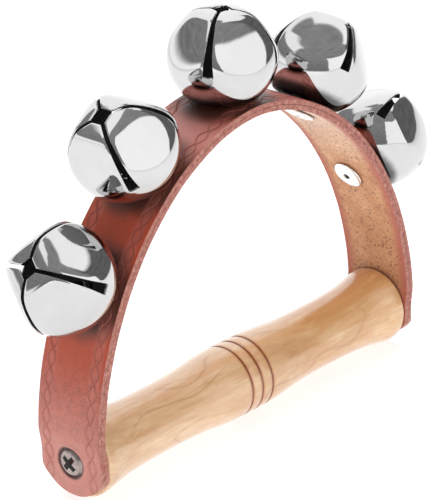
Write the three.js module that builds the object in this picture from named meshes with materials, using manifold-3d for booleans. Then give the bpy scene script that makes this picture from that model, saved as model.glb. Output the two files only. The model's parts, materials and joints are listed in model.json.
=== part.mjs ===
// Hand-held sleigh bells: a D-shaped leather strap screwed to the two ends of a turned wooden
// handle, with jingle bells riveted around the outside of the arch.
//
// Millimetres, +Z up. X runs along the handle, Y across the width of the strap. The origin is
// under the middle of the handle, at the height of the lowest point of the handle.

import * as THREE from 'three';
import { mergeVertices } from 'three/addons/utils/BufferGeometryUtils.js';
import Module from 'manifold-3d';

// ---------------------------------------------------------------- driving dimensions

const GAP = 0.3;                  // running gap between pieces that rest on each other

// handle
const HANDLE_LENGTH = 141.2;
const HANDLE_END_R = 12.9;        // flared ends
const HANDLE_WAIST_R = 10.6;
const HANDLE_SWELL_R = 12.15;     // swelling in the middle
const GROOVE_PITCH = 4.75;        // three burned lines
const GROOVE_WIDTH = 0.9;
const GROOVE_DEPTH = 0.4;
const AXIS_Z = HANDLE_END_R;      // height of the handle's axis

// strap
const STRAP_WIDTH = 25.4;
const PLY = 1.6;                  // thickness of each of the two plies
const PLY_GAP = 0.2;
const STRAP_T = 2 * PLY + PLY_GAP;
const LEG_X = HANDLE_LENGTH / 2 + GAP + STRAP_T;   // outer face of the flat legs: 74.3
const ARCH_HALF_W = 75.4;         // outer face of the arch: a superellipse
const ARCH_RISE = 92.7;
const ARCH_BASE = 3.2;            // height of its centre above the handle's axis
const ARCH_N = 1.91;
const LEG_FLAT_TOP = 1.0;         // the legs are flat up to here and bulge out above it
const LEG_BLEND_TOP = 9.0;
const STRAP_END_Z = -10.9;        // end of the strap below the handle's axis
const STRAP_END_R = 15.2;         // radius of the rounded end

// bells
const BELLS = [
  // along the strap from the top, across the strap, turn of the slots, lean along the strap
  { arc: -78.6, y: 0.6, spin: 6, lean: 2.8 },
  { arc: -39.8, y: 0.5, spin: 47, lean: 0.7 },
  { arc: -1.0, y: 0.5, spin: 27.5, lean: 3.0 },
  { arc: 38.4, y: -0.4, spin: 67, lean: -0.6 },
  { arc: 80.2, y: 1.6, spin: 31, lean: -3.7 },
];
const BELL_R = 17.35;
const BELL_CENTRE = 14.2;         // height of the ball's centre above the strap
const BELL_WALL = 0.8;
const BELL_TIP = 14.65;           // distance of the flattened tip from the centre
const PETAL_FLAT = 14.3;          // distance of each flattened petal from the centre
const PETAL_TILT = 58;            // angle of a petal's flat from the bell's axis, degrees
const BELL_BLEND = 22;            // sharpness of the ridges between the flats
const TIP_SQUARE = 5.4;           // side of the square opening at the tip
const SLOT = [                    // half width of a slot against height over the centre
  [0.55, 20.0], [0.6, 15.0], [0.95, 9.7], [1.2, 4.4], [1.5, 1.2], [1.7, -1.4], [1.35, -2.1],
];
const BELL_HOLE_R = 1.95;
const PELLET_R = 3.5;
const PELLET_CLEARANCE = 0.9;     // between a pellet at rest and the facets of the shell around it

// blind rivets
const RIVET_FLANGE_R = 5.3;
const RIVET_FLANGE_T = 1.1;
const RIVET_R = 1.6;
const RIVET_BORE_R = 1.05;
const RIVET_BULGE_R = 2.3;
const MANDREL_R = 0.75;
const STRAP_HOLE_R = 1.9;

// wood screws
const SCREW_HEAD_R = 4.8;
const SCREW_DOME = 1.1;
const SCREW_CORE_R = 1.6;
const SCREW_THREAD_R = 2.3;
const SCREW_LENGTH = 25;

// ---------------------------------------------------------------- solids

const wasm = await Module();
wasm.setup();

function solid(geometry) {
  const g = geometry.clone();
  g.deleteAttribute('normal');
  g.deleteAttribute('uv');
  const merged = mergeVertices(g, 1e-4);
  return new wasm.Manifold(new wasm.Mesh({
    numProp: 3,
    vertProperties: new Float32Array(merged.attributes.position.array),
    triVerts: new Uint32Array(merged.index.array),
  }));
}

function geometryOf(manifold) {
  const mesh = manifold.getMesh();
  const g = new THREE.BufferGeometry();
  const n = mesh.vertProperties.length / mesh.numProp;
  const position = new Float32Array(n * 3);
  for (let i = 0; i < n; i++) {
    for (let k = 0; k < 3; k++) position[3 * i + k] = mesh.vertProperties[mesh.numProp * i + k];
  }
  g.setAttribute('position', new THREE.BufferAttribute(position, 3));
  g.setIndex(new THREE.BufferAttribute(new Uint32Array(mesh.triVerts), 1));
  g.computeVertexNormals();
  return g;
}

// a solid of revolution about Z from [radius, height] pairs that run from the top down
function lathe(pairs, segments) {
  const g = new THREE.LatheGeometry(
    pairs.slice().reverse().map(([r, z]) => new THREE.Vector2(r, z)), segments);
  g.rotateX(Math.PI / 2);
  return g;
}

function cylinder(radius, z0, z1, segments = 16) {
  return lathe([[0, z1], [radius, z1], [radius, z0], [0, z0]], segments);
}

const rad = THREE.MathUtils.degToRad;
const smooth = (u) => { const v = Math.min(1, Math.max(0, u)); return v * v * (3 - 2 * v); };

// ---------------------------------------------------------------- line of the strap

// The outer face in the X-Z plane, from the left end over the arch to the right end, as a dense
// list of points with the distance along it from the top. Heights are above the handle's axis.
function strapLine() {
  const half = [];
  const steps = 1200;
  for (let i = 0; i <= steps; i++) {
    const a = (i / steps) * Math.PI / 2;
    const x = ARCH_HALF_W * Math.pow(Math.sin(a), 2 / ARCH_N);
    const z = ARCH_BASE + ARCH_RISE * Math.pow(Math.cos(a), 2 / ARCH_N);
    if (z > LEG_BLEND_TOP) half.push([x, z]);
  }
  const widest = half[half.length - 1][0];
  const last = half[half.length - 1][1];
  for (let i = 1; i <= 200; i++) {
    const z = last + (STRAP_END_Z - last) * (i / 200);
    const u = (z - LEG_FLAT_TOP) / (LEG_BLEND_TOP - LEG_FLAT_TOP);
    half.push([LEG_X + (widest - LEG_X) * smooth(u), z]);
  }
  const points = [
    ...half.slice(1).reverse().map(([x, z]) => [-x, z]),
    ...half,
  ];
  const along = [0];
  for (let i = 1; i < points.length; i++) {
    along.push(along[i - 1] + Math.hypot(points[i][0] - points[i - 1][0], points[i][1] - points[i - 1][1]));
  }
  const top = along[half.length - 1];
  return { points, along: along.map((s) => s - top) };
}

const LINE = strapLine();
const STRAP_HALF_LENGTH = LINE.along[LINE.along.length - 1];

function lineAt(s) {
  const { points, along } = LINE;
  let i = 1;
  while (i < along.length - 1 && along[i] < s) i++;
  const u = (s - along[i - 1]) / (along[i] - along[i - 1]);
  return [
    points[i - 1][0] + (points[i][0] - points[i - 1][0]) * u,
    points[i - 1][1] + (points[i][1] - points[i - 1][1]) * u,
  ];
}

// place on the outer face: point, direction along the strap towards +X, outward normal
function strapFrame(s) {
  const [x, z] = lineAt(s);
  const a = lineAt(Math.max(s - 1.5, -STRAP_HALF_LENGTH));
  const b = lineAt(Math.min(s + 1.5, STRAP_HALF_LENGTH));
  const l = Math.hypot(b[0] - a[0], b[1] - a[1]);
  const t = [(b[0] - a[0]) / l, (b[1] - a[1]) / l];
  return { x, z, t, n: [-t[1], t[0]] };
}

// stations of the plies' facets
function stations() {
  const list = [];
  const steps = 46;
  for (let i = 0; i <= steps; i++) list.push(-STRAP_HALF_LENGTH + (2 * STRAP_HALF_LENGTH * i) / steps);
  return list;
}

function ply(outer, inner) {
  const out = [];
  const back = [];
  for (const s of stations()) {
    const f = strapFrame(s);
    out.push(new THREE.Vector2(f.x - f.n[0] * outer, f.z - f.n[1] * outer));
    back.push(new THREE.Vector2(f.x - f.n[0] * inner, f.z - f.n[1] * inner));
  }
  // the flat legs end square
  for (const list of [out, back]) {
    list[0].y = STRAP_END_Z;
    list[list.length - 1].y = STRAP_END_Z;
  }
  const shape = new THREE.Shape([...out, ...back.reverse()]);
  const g = new THREE.ExtrudeGeometry(shape, { depth: STRAP_WIDTH, bevelEnabled: false, curveSegments: 1 });
  g.translate(0, 0, -STRAP_WIDTH / 2);
  g.rotateX(Math.PI / 2);
  return solid(g);
}

// everything inside the rounded outline of the strap seen along X
function endOutline() {
  const h = STRAP_WIDTH / 2 + 1;
  const centre = STRAP_END_Z + STRAP_END_R;
  const pts = [];
  const a1 = Math.asin((STRAP_WIDTH / 2) / STRAP_END_R);
  pts.push(new THREE.Vector2(h, 120));
  pts.push(new THREE.Vector2(h, centre - STRAP_END_R * Math.cos(a1)));
  const steps = 10;
  for (let i = steps; i >= 0; i--) {
    const a = -a1 + (2 * a1 * i) / steps;
    pts.push(new THREE.Vector2(STRAP_END_R * Math.sin(a), centre - STRAP_END_R * Math.cos(a)));
  }
  pts.push(new THREE.Vector2(-h, centre - STRAP_END_R * Math.cos(a1)));
  pts.push(new THREE.Vector2(-h, 120));
  const g = new THREE.ExtrudeGeometry(new THREE.Shape(pts), { depth: 240, bevelEnabled: false });
  g.translate(0, 0, -120);
  // shape X -> world Y, shape Y -> world Z, depth -> world X
  g.applyMatrix4(new THREE.Matrix4().set(
    0, 0, 1, 0,
    1, 0, 0, 0,
    0, 1, 0, 0,
    0, 0, 0, 1));
  return solid(g);
}

// matrix of a frame on the strap: local x along the strap, y across it, z outward
function onStrap(s, y = 0, leanDeg = 0) {
  const f = strapFrame(s);
  const m = new THREE.Matrix4().makeBasis(
    new THREE.Vector3(f.t[0], 0, f.t[1]),
    new THREE.Vector3(0, 1, 0),
    new THREE.Vector3(f.n[0], 0, f.n[1]));
  m.setPosition(f.x, y, f.z);
  m.multiply(new THREE.Matrix4().makeRotationY(rad(leanDeg)));
  return m;
}

// matrix of a screw: local z out of the leg's outer face
function onLeg(side) {
  const m = new THREE.Matrix4().makeBasis(
    new THREE.Vector3(0, 0, -side),
    new THREE.Vector3(0, 1, 0),
    new THREE.Vector3(side, 0, 0));
  m.setPosition(side * LEG_X, 0, 0);
  return m;
}

// ---------------------------------------------------------------- strap plies

const outline = endOutline();
const screwClearance = (side) => solid(lathe([
  [0, 3], [SCREW_HEAD_R + 0.35, 3], [SCREW_HEAD_R + 0.35, -0.15], [SCREW_THREAD_R + 0.35, -3.0],
  [SCREW_THREAD_R + 0.35, -6], [0, -6],
], 14).applyMatrix4(onLeg(side)));

function drilled(body) {
  let out = body.intersect(outline);
  for (const b of BELLS) {
    out = out.subtract(solid(cylinder(STRAP_HOLE_R, -9, 6, 10).applyMatrix4(onStrap(b.arc, b.y))));
  }
  for (const side of [-1, 1]) out = out.subtract(screwClearance(side));
  return geometryOf(out);
}

const outerPlyGeometry = drilled(ply(0, PLY));
const innerPlyGeometry = drilled(ply(PLY + PLY_GAP, STRAP_T));

// ---------------------------------------------------------------- handle

function handleGeometry() {
  const L = HANDLE_LENGTH / 2;
  const waist = HANDLE_WAIST_R;
  const swell = HANDLE_SWELL_R;
  const half = [
    [swell - 0.05, 9], [swell - 0.5, 15], [waist + 0.35, 22.5], [waist, 33],
    [waist + 0.1, 46], [waist + 0.7, 57], [waist + 1.5, 63], [HANDLE_END_R - 0.1, 67],
    [HANDLE_END_R, L - 0.6], [HANDLE_END_R - 0.5, L],
  ];
  const groove = (z) => [
    [swell, z - GROOVE_WIDTH / 2], [swell - GROOVE_DEPTH, z - GROOVE_WIDTH / 6],
    [swell - GROOVE_DEPTH, z + GROOVE_WIDTH / 6], [swell, z + GROOVE_WIDTH / 2],
  ];
  const bore = SCREW_THREAD_R + 0.3;
  const deep = SCREW_LENGTH - STRAP_T + 1.2;
  const pairs = [
    [0, -L + deep], [bore, -L + deep], [bore, -L],
    ...half.slice().reverse().map(([r, z]) => [r, -z]),
    ...groove(-GROOVE_PITCH), ...groove(0), ...groove(GROOVE_PITCH),
    ...half,
    [bore, L], [bore, L - deep], [0, L - deep],
  ];
  const g = new THREE.LatheGeometry(pairs.map(([r, z]) => new THREE.Vector2(r, z)), 20);
  g.rotateZ(-Math.PI / 2);   // lathe axis onto +X
  return g;
}

// ---------------------------------------------------------------- wood screw

function screwGeometry() {
  const profile = [[0, SCREW_DOME]];
  for (const [r, z] of [[0.5, 0.93], [0.85, 0.5], [1, 0]]) {
    profile.push([SCREW_HEAD_R * r, SCREW_DOME * z]);
  }
  profile.push([SCREW_CORE_R + 0.1, -2.9]);
  const turns = 6;
  const start = -5.2;
  const pitch = (SCREW_LENGTH - 5.2 - 3) / turns;
  profile.push([SCREW_CORE_R + 0.1, start]);
  for (let i = 0; i < turns; i++) {
    const z = start - i * pitch;
    profile.push([SCREW_THREAD_R, z - pitch * 0.3], [SCREW_CORE_R, z - pitch]);
  }
  profile.push([0, -SCREW_LENGTH]);
  let body = solid(lathe(profile, 12));
  for (const turn of [45, 135]) {
    const arm = new THREE.BoxGeometry(5.4, 1.15, 3.2);
    arm.rotateZ(rad(turn));
    arm.translate(0, 0, SCREW_DOME);
    body = body.subtract(solid(arm));
  }
  return geometryOf(body);
}

// ---------------------------------------------------------------- jingle bell

// radius of the bell's surface in the direction (polar angle from the tip, azimuth from a slot)
function bellRadius(polar, azimuth, inset) {
  const p = BELL_BLEND;
  let sum = Math.pow(BELL_R - inset, -p);
  const c = Math.cos(polar);
  if (c > 0.2) sum += Math.pow((BELL_TIP - inset) / c, -p);
  for (let k = 0; k < 4; k++) {
    const d = Math.cos(rad(PETAL_TILT)) * c
      + Math.sin(rad(PETAL_TILT)) * Math.sin(polar) * Math.cos(azimuth - rad(45 + 90 * k));
    if (d > 0.2) sum += Math.pow((PETAL_FLAT - inset) / d, -p);
  }
  return Math.pow(sum, -1 / p);
}

// closed ball with flattened tip, petals and base, centred on the ball's centre
function ball(inset, polars, segments) {
  const floor = -(BELL_CENTRE - GAP) + inset;
  const rim = Math.acos(floor / (BELL_R - inset));
  const angles = [...polars.filter((a) => rad(a) < rim - 0.05).map(rad), rim];
  const profile = [new THREE.Vector2(0, floor)];
  for (const a of angles.slice().reverse()) profile.push(new THREE.Vector2(Math.sin(a), Math.cos(a)));
  profile.push(new THREE.Vector2(0, 1));
  const g = new THREE.LatheGeometry(profile, segments);
  g.rotateX(Math.PI / 2);
  const position = g.attributes.position;
  const v = new THREE.Vector3();
  for (let i = 0; i < position.count; i++) {
    v.fromBufferAttribute(position, i);
    const onAxis = Math.hypot(v.x, v.y) < 1e-6;
    if (onAxis && v.z < 0) continue;
    const polar = Math.acos(Math.min(1, Math.max(-1, v.z / v.length())));
    const azimuth = onAxis ? 0 : Math.atan2(v.y, v.x);
    v.normalize().multiplyScalar(bellRadius(polar, azimuth, inset));
    if (Math.abs(polar - rim) < 1e-6) {
      const flat = Math.sqrt((BELL_R - inset) ** 2 - floor ** 2) / Math.hypot(v.x, v.y);
      v.set(v.x * flat, v.y * flat, floor);
    }
    position.setXYZ(i, v.x, v.y, v.z);
  }
  return solid(g);
}

function bellGeometry() {
  let body = ball(0, [10, 20, 31, 43, 55, 67, 79, 92, 107, 125], 24)
    .subtract(ball(BELL_WALL, [14, 32, 50, 68, 88, 112], 16));
  const outlinePts = [
    ...SLOT.map(([w, z]) => new THREE.Vector2(w, z)),
    ...SLOT.slice().reverse().map(([w, z]) => new THREE.Vector2(-w, z)),
  ];
  for (const turn of [0, 90]) {
    const g = new THREE.ExtrudeGeometry(new THREE.Shape(outlinePts.slice().reverse()),
      { depth: 2 * BELL_R + 4, bevelEnabled: false });
    g.translate(0, 0, -(BELL_R + 2));
    g.applyMatrix4(new THREE.Matrix4().set(
      0, 0, 1, 0,
      1, 0, 0, 0,
      0, 1, 0, 0,
      0, 0, 0, 1));
    g.rotateZ(rad(turn));
    body = body.subtract(solid(g));
  }
  const tip = new THREE.BoxGeometry(TIP_SQUARE, TIP_SQUARE, 10);
  tip.rotateZ(Math.PI / 4);
  tip.translate(0, 0, BELL_R);
  body = body.subtract(solid(tip));
  body = body.subtract(solid(cylinder(BELL_HOLE_R, -BELL_R - 1, -BELL_R / 2, 16)));
  return geometryOf(body);
}

// ---------------------------------------------------------------- blind rivet

// local z = 0 is the outer face of the strap, +z into the bell
const FLANGE_TOP = -STRAP_T - GAP - 0.2;
const RIVET_END = 4.3;

function rivetGeometry() {
  const top = FLANGE_TOP;
  const bottom = top - RIVET_FLANGE_T;
  const floorTop = GAP + BELL_WALL;
  return lathe([
    [RIVET_BORE_R, RIVET_END],
    [RIVET_BULGE_R - 0.5, RIVET_END],
    [RIVET_BULGE_R, RIVET_END - 0.8],
    [RIVET_BULGE_R, floorTop + 0.7],
    [RIVET_R, floorTop + GAP],
    [RIVET_R, top],
    [RIVET_FLANGE_R, top],
    [RIVET_FLANGE_R, top - 0.35],
    [RIVET_FLANGE_R * 0.8, bottom + 0.22],
    [RIVET_R + 0.5, bottom],
    [RIVET_BORE_R, bottom],
    [RIVET_BORE_R, RIVET_END],
  ], 14);
}

function mandrelGeometry() {
  return lathe([
    [0, RIVET_END + GAP + 1.6],
    [0.9, RIVET_END + GAP + 1.3],
    [1.5, RIVET_END + GAP + 0.7],
    [1.5, RIVET_END + GAP],
    [MANDREL_R, RIVET_END + GAP],
    [MANDREL_R, FLANGE_TOP + 0.2],
    [0, FLANGE_TOP + 0.2],
  ], 10);
}

// where a pellet lies: offset from the ball's centre for a bell whose outward axis is n (X, Z)
function pelletRest(n) {
  const reach = BELL_R - BELL_WALL - PELLET_R - PELLET_CLEARANCE;
  const low = -(BELL_CENTRE - GAP - BELL_WALL - PELLET_R - GAP);
  const along = -reach * n[1];
  if (along >= low) return [0, -reach];
  const t = [n[1], -n[0]];
  const down = t[1] <= 0 ? 1 : -1;
  const beside = RIVET_BULGE_R + PELLET_R + GAP;
  const rho = Math.abs(n[0]) < 0.1 ? beside : Math.sqrt(reach * reach - low * low);
  return [low * n[0] + down * rho * t[0], low * n[1] + down * rho * t[1]];
}

// ---------------------------------------------------------------- materials

const leatherOuter = new THREE.MeshStandardMaterial({ color: 0x9c3f2b, roughness: 0.38, metalness: 0 });
const leatherInner = new THREE.MeshStandardMaterial({ color: 0xbe8656, roughness: 0.85, metalness: 0 });
const maple = new THREE.MeshStandardMaterial({ color: 0xe3bb84, roughness: 0.3, metalness: 0 });
const nickel = new THREE.MeshStandardMaterial({ color: 0xdedfe1, roughness: 0.08, metalness: 1 });
const zinc = new THREE.MeshStandardMaterial({ color: 0xa9a9aa, roughness: 0.35, metalness: 1 });
const aluminium = new THREE.MeshStandardMaterial({ color: 0xeeeeee, roughness: 0.3, metalness: 1 });
const steel = new THREE.MeshStandardMaterial({ color: 0x8d8f92, roughness: 0.3, metalness: 1 });

// ---------------------------------------------------------------- assembly

const object = new THREE.Group();
object.name = 'sleigh_bells';
object.position.z = AXIS_Z;

function add(name, geometry, material, matrix = null) {
  const mesh = new THREE.Mesh(geometry, material);
  mesh.name = name;
  if (matrix) {
    matrix.decompose(mesh.position, mesh.quaternion, mesh.scale);
  }
  object.add(mesh);
  return mesh;
}

add('wooden_handle', handleGeometry(), maple);
add('strap_outer_leather', outerPlyGeometry, leatherOuter);
add('strap_inner_leather', innerPlyGeometry, leatherInner);
add('screw_left', screwGeometry(), zinc, onLeg(-1));
add('screw_right', screwGeometry(), zinc, onLeg(1));

const bell = bellGeometry();
const rivet = rivetGeometry();
const mandrel = mandrelGeometry();
const pellet = new THREE.IcosahedronGeometry(PELLET_R, 1);

BELLS.forEach((b, i) => {
  const k = i + 1;
  const seat = onStrap(b.arc, b.y, b.lean);     // the bell sits loose and leans on its rivet
  const bore = onStrap(b.arc, b.y);
  const spun = seat.clone()
    .multiply(new THREE.Matrix4().makeRotationZ(rad(b.spin)))
    .multiply(new THREE.Matrix4().makeTranslation(0, 0, BELL_CENTRE));
  add(`jingle_bell_${k}`, bell, nickel, spun);
  add(`rivet_body_${k}`, rivet, aluminium, bore);
  add(`rivet_mandrel_${k}`, mandrel, steel, bore);
  const centre = new THREE.Vector3(0, 0, BELL_CENTRE).applyMatrix4(seat);
  const axis = new THREE.Vector3(0, 0, 1).transformDirection(seat);
  const [dx, dz] = pelletRest([axis.x, axis.z]);
  add(`pellet_${k}`, pellet, steel,
    new THREE.Matrix4().makeTranslation(centre.x + dx, centre.y, centre.z + dz));
});

export default object;
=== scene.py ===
# Hand-held sleigh bells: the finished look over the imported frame.
import json
import math
import bpy
import bmesh
import numpy as np
from mathutils import Matrix, Vector, noise


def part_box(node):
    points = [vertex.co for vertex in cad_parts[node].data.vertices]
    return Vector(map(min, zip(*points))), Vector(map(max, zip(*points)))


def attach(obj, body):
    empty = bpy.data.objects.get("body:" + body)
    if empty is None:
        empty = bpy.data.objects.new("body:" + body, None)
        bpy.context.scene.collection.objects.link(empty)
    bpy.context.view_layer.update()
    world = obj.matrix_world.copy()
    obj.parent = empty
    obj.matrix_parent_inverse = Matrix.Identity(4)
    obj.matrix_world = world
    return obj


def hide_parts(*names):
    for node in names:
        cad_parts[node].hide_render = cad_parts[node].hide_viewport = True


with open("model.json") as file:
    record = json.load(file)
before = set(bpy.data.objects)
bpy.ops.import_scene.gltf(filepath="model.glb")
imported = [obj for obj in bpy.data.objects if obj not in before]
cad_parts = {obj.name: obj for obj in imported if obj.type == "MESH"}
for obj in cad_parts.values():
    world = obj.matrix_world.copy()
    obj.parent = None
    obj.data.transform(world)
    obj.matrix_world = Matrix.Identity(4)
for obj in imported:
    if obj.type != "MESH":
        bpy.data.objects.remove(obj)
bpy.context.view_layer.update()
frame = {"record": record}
# lengths are in mm, apart from those of the camera, lamps, floor, bevels, bumps and mesh points: metres
MM = 0.001
ROOT = "strap_and_handle"
BELLS = range(1, 6)
joints = {j["name"]: j for j in frame["record"]["behaviour"]["joints"]}
seat_of = {k: joints[f"bell_{k}_spin"]["pos_m"] for k in BELLS}

handle_lo, handle_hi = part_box("wooden_handle")
AXIS_Z = (handle_lo[2] + handle_hi[2]) / 2      # height of the handle's axis, in metres
scene = bpy.context.scene


# ------------------------------------------------------------------ camera
YAW, PITCH, ROLL = math.radians(-46.78), math.radians(24.04), -0.0347
AIM = Vector((-0.002324, 0.004732, 0.044002 + AXIS_Z))     # in metres
AWAY = 0.875084                                 # from the aim to the camera, in metres


def camera():
    scene.view_settings.view_transform = "Standard"
    scene.view_settings.look = "None"
    level = math.cos(PITCH)
    back = Vector((math.sin(YAW) * level, -math.cos(YAW) * level, math.sin(PITCH)))
    right = Vector((math.cos(YAW), math.sin(YAW), 0))
    up = back.cross(right)
    rolled_right = math.cos(ROLL) * right + math.sin(ROLL) * up
    rolled_up = -math.sin(ROLL) * right + math.cos(ROLL) * up
    turn = Matrix((rolled_right, rolled_up, back)).transposed().to_4x4()
    cam = bpy.data.objects.new("camera", bpy.data.cameras.new("camera"))
    cam.matrix_world = Matrix.Translation(AIM + back * AWAY) @ turn
    cam.data.sensor_width = 36
    cam.data.lens = 200.21
    cam.data.clip_start, cam.data.clip_end = 0.05, 50
    scene.collection.objects.link(cam)
    scene.camera = cam


camera()


# ------------------------------------------------------------------ node helpers
def srgb(*rgb):
    """A colour given as 0 to 255 in sRGB, as linear values."""
    shares = [c / 255 for c in rgb]
    return tuple(c / 12.92 if c <= 0.04045 else ((c + 0.055) / 1.055) ** 2.4 for c in shares)


class Nodes:
    """Short names for building a node tree."""

    def __init__(self, tree):
        self.tree = tree

    def node(self, kind, **sets):
        """A new node; a setting that starts with i_ goes to the input of that name."""
        n = self.tree.nodes.new(kind)
        for name, value in sets.items():
            if name.startswith("i_"):
                n.inputs[name[2:].replace("_", " ")].default_value = value
            else:
                setattr(n, name, value)
        return n

    def link(self, a, b):
        self.tree.links.new(a, b)

    def scaled(self, vec, scale):
        n = self.node("ShaderNodeMapping", i_Scale=scale)
        self.link(vec, n.inputs[0])
        return n.outputs[0]

    def noise(self, vec, scale, detail=4, rough=0.55, distort=0.0):
        n = self.node("ShaderNodeTexNoise", i_Scale=scale, i_Detail=detail, i_Roughness=rough,
                      i_Distortion=distort)
        self.link(vec, n.inputs["Vector"])
        return n.outputs["Fac"]

    def voronoi(self, vec, scale, feature="F1"):
        n = self.node("ShaderNodeTexVoronoi", feature=feature, i_Scale=scale, i_Randomness=1.0)
        self.link(vec, n.inputs["Vector"])
        return n.outputs["Distance"]

    def ramp(self, fac, stops, interp="LINEAR"):
        n = self.node("ShaderNodeValToRGB")
        n.color_ramp.interpolation = interp
        elements = n.color_ramp.elements
        while len(elements) < len(stops):
            elements.new(0.5)
        for element, (place, c) in zip(elements, stops):
            element.position = place
            element.color = (c, c, c, 1) if isinstance(c, (int, float)) else (*c, 1)
        self.link(fac, n.inputs[0])
        return n.outputs[0]

    def math(self, op, *values, clamp=False):
        n = self.node("ShaderNodeMath", operation=op, use_clamp=clamp)
        for socket, value in zip(n.inputs, values):
            if isinstance(value, (int, float)):
                socket.default_value = value
            else:
                self.link(value, socket)
        return n.outputs[0]

    def add(self, a, b):
        return self.math("ADD", a, b)

    def sub(self, a, b):
        return self.math("SUBTRACT", a, b)

    def mul(self, a, b):
        return self.math("MULTIPLY", a, b)

    def least(self, a, b):
        return self.math("MINIMUM", a, b)

    def size(self, a):
        return self.math("ABSOLUTE", a)

    def share(self, a, span):
        """a / span, held between 0 and 1."""
        return self.math("DIVIDE", a, span, clamp=True)

    def hypot(self, a, b):
        return self.math("SQRT", self.add(self.mul(a, a), self.mul(b, b)))

    def jitter(self, vec, scale, detail, amount, rough=0.55):
        """Noise about zero."""
        return self.mul(self.sub(self.noise(vec, scale, detail, rough), 0.5), amount)

    def mix(self, fac, a, b):
        n = self.node("ShaderNodeMix", data_type="RGBA", blend_type="MIX")
        for i, value in ((0, fac), (6, a), (7, b)):
            if isinstance(value, tuple):
                n.inputs[i].default_value = (*value, 1)
            else:
                self.link(value, n.inputs[i])
        return n.outputs[2]

    def tint(self, base, fac, stops, colour, interp="LINEAR"):
        """base, taken towards a colour as far as the ramp says."""
        return self.mix(self.ramp(fac, stops, interp), base, colour)

    def split(self, vec):
        n = self.node("ShaderNodeSeparateXYZ")
        self.link(vec, n.inputs[0])
        return n.outputs

    def bump(self, height, strength, depth, below=None):
        """A normal raised by height; depth is in metres, and below is the normal it starts from."""
        n = self.node("ShaderNodeBump", i_Strength=strength, i_Distance=depth)
        self.link(height, n.inputs["Height"])
        if below is not None:
            self.link(below, n.inputs["Normal"])
        return n.outputs[0]


class Mat(Nodes):
    """A material with one Principled shader."""

    def __init__(self, name):
        self.material = bpy.data.materials.new(name)
        self.material.use_nodes = True
        super().__init__(self.material.node_tree)
        self.shader = self.tree.nodes["Principled BSDF"]

    def coords(self, stretch=(1, 1, 1)):
        return self.scaled(self.node("ShaderNodeTexCoord").outputs["Object"], stretch)

    def uv_mm(self, layer):
        """Both values of a UV layer that holds metres, in mm."""
        src = self.node("ShaderNodeUVMap", uv_map=layer).outputs[0]
        u, v, _ = self.split(self.scaled(src, (1000, 1000, 1000)))
        return u, v

    def set(self, **sets):
        for name, value in sets.items():
            self.shader.inputs[name.replace("_", " ")].default_value = value

    def finish(self, base, rough, normal=None):
        """Link what varies over the surface, and return the material."""
        self.link(base, self.shader.inputs["Base Color"])
        self.link(rough, self.shader.inputs["Roughness"])
        if normal is not None:
            self.link(normal, self.shader.inputs["Normal"])
        return self.material


# ------------------------------------------------------------------ line of the strap
LEG_X, LEG_TOP, LEG_STRAIGHT = 74.3, 9.0, 1.0    # the legs are straight below LEG_STRAIGHT
ARCH_W, ARCH_RISE, ARCH_BASE, ARCH_N = 75.4, 92.7, 3.2, 1.91
END_Z, END_R = -10.9, 15.2
PLY, BOTH_PLIES, GLUE_GAP = 1.6, 3.4, 0.12
STRAP_W = 25.4
WAVE_LEN, WAVE_AMP, WAVE_IN = 12.4, 1.55, 3.5    # the seams' waves, and how far in from the edge
GROOVE_X = 4.75                                  # the outer turned lines of the handle
TANGENT_REACH = 1.5


def strap_line():
    """The outer face from end to end: distance from the top, x, z, and the direction (x, z) there."""
    turn = np.linspace(0, math.pi / 2, 6001)
    x = ARCH_W * np.sin(turn) ** (2 / ARCH_N)
    z = ARCH_BASE + ARCH_RISE * np.cos(turn) ** (2 / ARCH_N)
    arch = z > LEG_TOP
    x, z = x[arch], z[arch]
    leg_z = np.linspace(z[-1], END_Z, 600)[1:]
    ease = np.clip((leg_z - LEG_STRAIGHT) / (LEG_TOP - LEG_STRAIGHT), 0, 1)
    leg_x = LEG_X + (x[-1] - LEG_X) * (ease * ease * (3 - 2 * ease))
    half_x, half_z = np.concatenate([x, leg_x]), np.concatenate([z, leg_z])
    all_x = np.concatenate([-half_x[::-1], half_x[1:]])
    all_z = np.concatenate([half_z[::-1], half_z[1:]])
    s = np.concatenate([[0], np.cumsum(np.hypot(np.diff(all_x), np.diff(all_z)))])
    s -= s[len(half_x) - 1]
    even = np.linspace(s[0], s[-1], 3001)
    ahead = np.minimum(even + TANGENT_REACH, s[-1])
    behind = np.maximum(even - TANGENT_REACH, -s[-1])
    run_x = np.interp(ahead, s, all_x) - np.interp(behind, s, all_x)
    run_z = np.interp(ahead, s, all_z) - np.interp(behind, s, all_z)
    run = np.hypot(run_x, run_z)
    return even, np.interp(even, s, all_x), np.interp(even, s, all_z), run_x / run, run_z / run


LINE_S, LINE_X, LINE_Z, ALONG_X, ALONG_Z = strap_line()
HALF = float(LINE_S[-1])
SCREW_S = HALF + END_Z       # the legs are straight here, so the screw is this far from the top


def line_index(place):
    """The point of the line nearest to a place of the record, in metres."""
    return int(np.argmin(np.hypot(LINE_X * MM - place[0], LINE_Z * MM + AXIS_Z - place[2])))


SEATS = [float(LINE_S[line_index(seat_of[k])]) for k in BELLS]


def strap_point(s, y, depth):
    """A point of the strap in metres: s along the outer face from the top, y across, depth inwards."""
    x, z, along_x, along_z = (np.interp(s, LINE_S, v) for v in (LINE_X, LINE_Z, ALONG_X, ALONG_Z))
    return np.stack([(x + along_z * depth) * MM, y * MM + 0 * x, (z - along_x * depth) * MM + AXIS_Z], -1)


# ------------------------------------------------------------------ leather
END_AT = 150.0               # |u| reaches about this at the ends of the strap


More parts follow.
